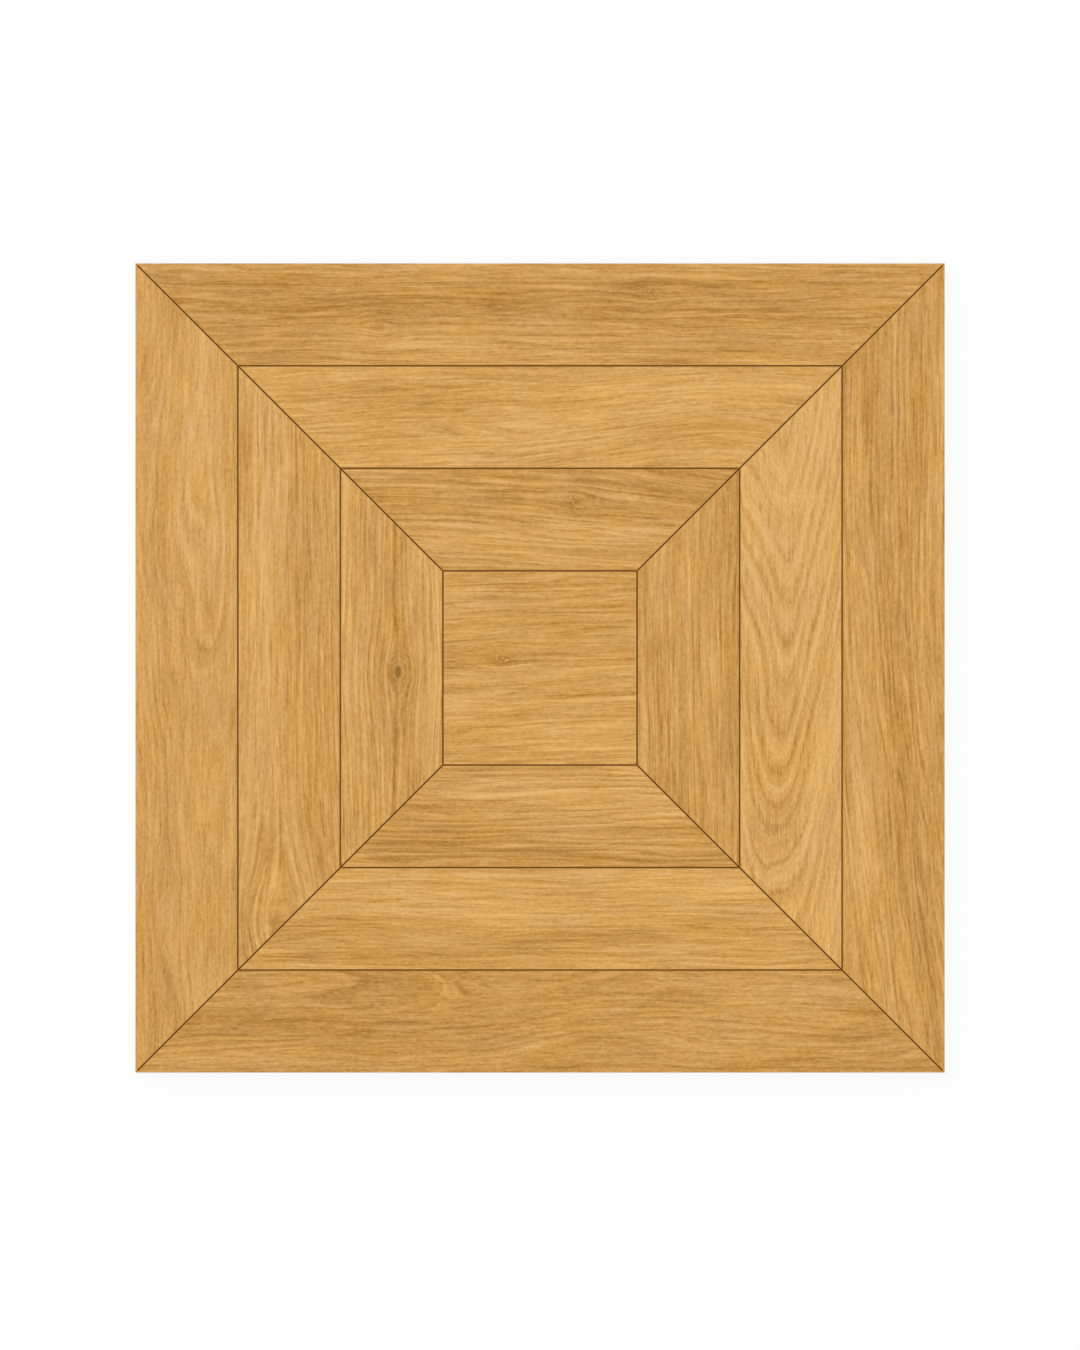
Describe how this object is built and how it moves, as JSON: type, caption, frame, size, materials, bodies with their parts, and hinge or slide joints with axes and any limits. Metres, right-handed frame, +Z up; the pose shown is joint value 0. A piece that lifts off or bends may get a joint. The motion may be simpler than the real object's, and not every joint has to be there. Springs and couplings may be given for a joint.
{
  "type": "parquet panel",
  "caption": "Square oak floor panel of mitred staves in concentric rings around a centre square, with bevelled joints and a groove round the edge for loose tongues.",
  "frame": {"origin": "centre of the underside, which lies on the floor", "axes": "+Z up through the show face; +X to the right and -Y to the front as the picture shows the panel from above"},
  "size_m": [0.6, 0.6, 0.02],
  "materials": {
    "oak": "clear satin lacquer over golden oak"
  },
  "bodies": {
    "root": {"centre_square": "oak", "inner_stave_front": "oak", "inner_stave_right": "oak", "inner_stave_back": "oak", "inner_stave_left": "oak", "middle_stave_front": "oak", "middle_stave_right": "oak", "middle_stave_back": "oak", "middle_stave_left": "oak", "outer_stave_front": "oak", "outer_stave_right": "oak", "outer_stave_back": "oak", "outer_stave_left": "oak"}
  },
  "joints": []
}
